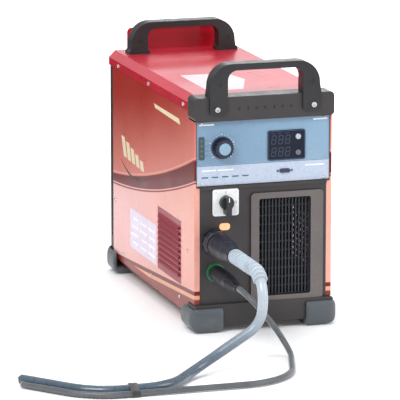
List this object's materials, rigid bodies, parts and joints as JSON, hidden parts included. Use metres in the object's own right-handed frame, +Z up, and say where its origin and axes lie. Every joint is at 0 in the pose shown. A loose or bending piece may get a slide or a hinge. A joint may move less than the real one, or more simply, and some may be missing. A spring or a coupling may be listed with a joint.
{
  "type": "plasma cutter power unit",
  "caption": "Upright inverter plasma cutting power unit in a red case with black end frames, carrying handles, a dial panel, plugged torch and work leads, and a rear fan and air supply.",
  "frame": {"origin": "centre of the four bolt-down holes, on the underside of the base tray; the floor is 15 mm below, at the boots' undersides", "axes": "+Z up; -Y is the front with the control panel and the leads; +X is to the right seen from the front"},
  "size_m": [0.7357, 1.1044, 0.54],
  "materials": {
    "red_paint": "gloss powder coat",
    "bright_red": "gloss",
    "black_moulding": "fine textured",
    "handle_black": "fine textured",
    "boot_rubber": "matt",
    "panel_blue": "satin printed overlay",
    "window_dark": "gloss",
    "board_green": "solder mask",
    "lamp_green": "gloss",
    "knob_dark": "satin",
    "cap_blue": "satin",
    "zinc": "zinc plated",
    "button_white": "satin",
    "button_navy": "satin",
    "plate_white": "satin",
    "switch_black": "satin",
    "lamp_orange": "gloss, translucent",
    "grille_black": "matt",
    "connector_dark": "satin",
    "relief_grey": "matt",
    "torch_sheath": "smooth, slightly glossy",
    "socket_green": "satin",
    "work_sheath": "smooth",
    "strap_black": "woven",
    "chrome_wire": "plated",
    "cast_grey": "die cast, painted",
    "bowl_clear": "clear",
    "needle_red": "satin",
    "sheet_zinc": "galvanised sheet",
    "bare_aluminium": "extruded",
    "module_black": "matt",
    "capacitor_blue": "sleeved can",
    "core_grey": "ferrite and copper, taken as iron",
    "valve_brass": "machined",
    "hose_blue": "smooth"
  },
  "bodies": {
    "unit": {"base_tray": "red_paint", "side_cover_left": "red_paint", "side_cover_right": "red_paint", "top_cover": "red_paint", "rear_guard": "bright_red", "front_bezel": "black_moulding", "rear_bezel": "black_moulding", "rear_panel": "red_paint", "front_handle": "handle_black", "rear_handle": "handle_black", "corner_feet": "boot_rubber", "control_panel": "panel_blue", "display_window": "window_dark", "display_board": "board_green", "status_lights": "lamp_green", "potentiometer": "zinc", "switch_plate": "plate_white", "switch_body": "module_black", "pilot_lamp": "lamp_orange", "front_grille": "grille_black", "torch_socket": "connector_dark", "torch_plug": "connector_dark", "torch_strain_relief": "relief_grey", "torch_lead": "torch_sheath", "work_socket": "socket_green", "work_plug": "switch_black", "work_lead": "work_sheath", "lead_strap": "strap_black", "fan_frame": "module_black", "fan_guard": "chrome_wire", "air_regulator": "cast_grey", "filter_bowl": "bowl_clear", "pressure_gauge": "connector_dark", "gauge_lens": "bowl_clear", "interface_connector": "connector_dark", "cable_gland": "connector_dark", "mains_lead": "work_sheath", "divider_panel": "sheet_zinc", "primary_heatsink": "bare_aluminium", "power_modules": "module_black", "power_board": "board_green", "bus_capacitors": "capacitor_blue", "secondary_heatsink": "bare_aluminium", "transformer": "core_grey", "output_choke": "core_grey", "control_board": "board_green", "solenoid_valve": "valve_brass", "air_hose": "hose_blue", "fasteners": "zinc"},
    "current_knob": {"current_knob": "knob_dark", "knob_cap": "cap_blue"},
    "upper_button": {"upper_button": "button_white"},
    "lower_button": {"lower_button": "button_white"},
    "mode_button": {"mode_button": "button_navy"},
    "power_switch_knob": {"switch_knob": "switch_black"},
    "torch_lock_ring": {"torch_lock_ring": "connector_dark"},
    "fan_rotor": {"fan_rotor": "module_black"},
    "regulator_knob": {"regulator_knob": "connector_dark"},
    "gauge_needle": {"gauge_needle": "needle_red"},
    "connector_cap": {"connector_cap": "connector_dark"}
  },
  "joints": [
    {"name": "current_knob_turn", "type": "hinge", "parent": "unit", "child": "current_knob", "pos_m": [-0.086, -0.31, 0.357], "axis": [0, 1, 0], "range_deg": [-135, 135]},
    {"name": "upper_button_press", "type": "slide", "parent": "unit", "child": "upper_button", "axis": [0, 1, 0], "range_m": [0, 0.0015], "stiffness_N_per_m": 400, "springref_m": -0.001},
    {"name": "lower_button_press", "type": "slide", "parent": "unit", "child": "lower_button", "axis": [0, 1, 0], "range_m": [0, 0.0015], "stiffness_N_per_m": 400, "springref_m": -0.001},
    {"name": "mode_button_press", "type": "slide", "parent": "unit", "child": "mode_button", "axis": [0, 1, 0], "range_m": [0, 0.0015], "stiffness_N_per_m": 400, "springref_m": -0.001},
    {"name": "power_switch_turn", "type": "hinge", "parent": "unit", "child": "power_switch_knob", "pos_m": [-0.079, -0.31, 0.247], "axis": [0, 1, 0], "range_deg": [0, 90]},
    {"name": "torch_lock_ring_turn", "type": "hinge", "parent": "unit", "child": "torch_lock_ring", "pos_m": [-0.104, -0.319, 0.169], "axis": [0, 1, 0], "range_deg": [0, 90]},
    {"name": "fan_spin", "type": "hinge", "parent": "unit", "child": "fan_rotor", "pos_m": [0, 0.251, 0.19], "axis": [0, 1, 0], "continuous": true},
    {"name": "regulator_knob_turn", "type": "hinge", "parent": "unit", "child": "regulator_knob", "pos_m": [-0.104, 0.312, 0.386], "axis": [0, 0, 1], "range_deg": [-540, 540]},
    {"name": "gauge_needle_turn", "type": "hinge", "parent": "unit", "child": "gauge_needle", "pos_m": [-0.104, 0.342, 0.34], "axis": [0, -1, 0], "range_deg": [0, 270]},
    {"name": "connector_cap_flip", "type": "hinge", "parent": "unit", "child": "connector_cap", "pos_m": [0.07, 0.295, 0.395], "axis": [1, 0, 0], "range_deg": [0, 110]}
  ]
}
